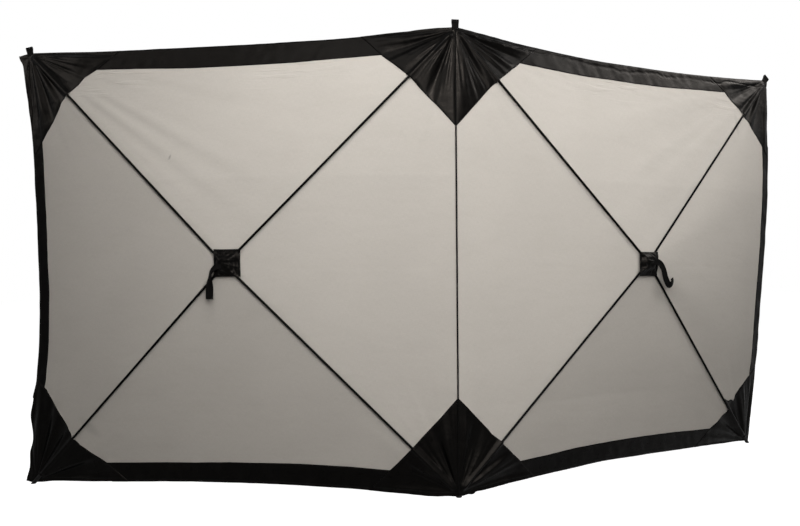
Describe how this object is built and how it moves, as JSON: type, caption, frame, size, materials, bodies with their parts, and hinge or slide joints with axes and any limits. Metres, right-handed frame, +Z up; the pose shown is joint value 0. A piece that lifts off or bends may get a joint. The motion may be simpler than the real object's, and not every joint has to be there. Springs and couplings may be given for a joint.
{
  "type": "pop-up panel windbreak",
  "caption": "Free-standing pop-up beach windbreak: pale cloth panels with black hems and corner patches, tensioned by crossed rods from central hubs, folding at a shared upright seam.",
  "frame": {"origin": "underside of the foot at the bottom of the shared seam, on the floor", "axes": "+Z up along the seam, which is the hinge line; -Y is the front, where the hubs and pull straps are; the panels run to -X and +X and back towards +Y"},
  "size_m": [3.4814, 0.6163, 1.8535],
  "materials": {
    "pale_cloth": "fine plain-weave polyester, slightly translucent",
    "black_cloth": "black coated polyester with a low sheen",
    "webbing": "woven webbing",
    "seam_tape": "bound seam tape",
    "rod": "black glass-fibre rod, satin",
    "hub_plastic": "moulded, matte",
    "tip_plastic": "moulded, matte"
  },
  "bodies": {
    "left_panel": {"seam_binding": "seam_tape", "seam_foot": "tip_plastic", "seam_loop": "webbing", "left_field": "pale_cloth", "left_top_hem": "black_cloth", "left_bottom_hem": "black_cloth", "left_side_hem": "black_cloth", "left_top_seam_patch": "black_cloth", "left_bottom_seam_patch": "black_cloth", "left_top_outer_patch": "black_cloth", "left_bottom_outer_patch": "black_cloth", "left_top_seam_rod": "rod", "left_bottom_seam_rod": "rod", "left_top_outer_rod": "rod", "left_bottom_outer_rod": "rod", "left_hub": "hub_plastic", "left_hub_cover": "black_cloth", "left_pull_strap": "webbing", "left_corner_loop": "webbing", "left_rod_tip": "tip_plastic"},
    "right_panel": {"right_field": "pale_cloth", "right_top_hem": "black_cloth", "right_bottom_hem": "black_cloth", "right_side_hem": "black_cloth", "right_top_seam_patch": "black_cloth", "right_bottom_seam_patch": "black_cloth", "right_top_outer_patch": "black_cloth", "right_bottom_outer_patch": "black_cloth", "right_top_seam_rod": "rod", "right_bottom_seam_rod": "rod", "right_top_outer_rod": "rod", "right_bottom_outer_rod": "rod", "right_hub": "hub_plastic", "right_hub_cover": "black_cloth", "right_pull_strap": "webbing", "right_corner_loop": "webbing", "right_rod_tip": "tip_plastic"}
  },
  "joints": [
    {"name": "seam_fold", "type": "hinge", "parent": "left_panel", "child": "right_panel", "pos_m": [0, 0, 0], "axis": [0, 0, 1], "range_deg": [-145, 120]}
  ]
}
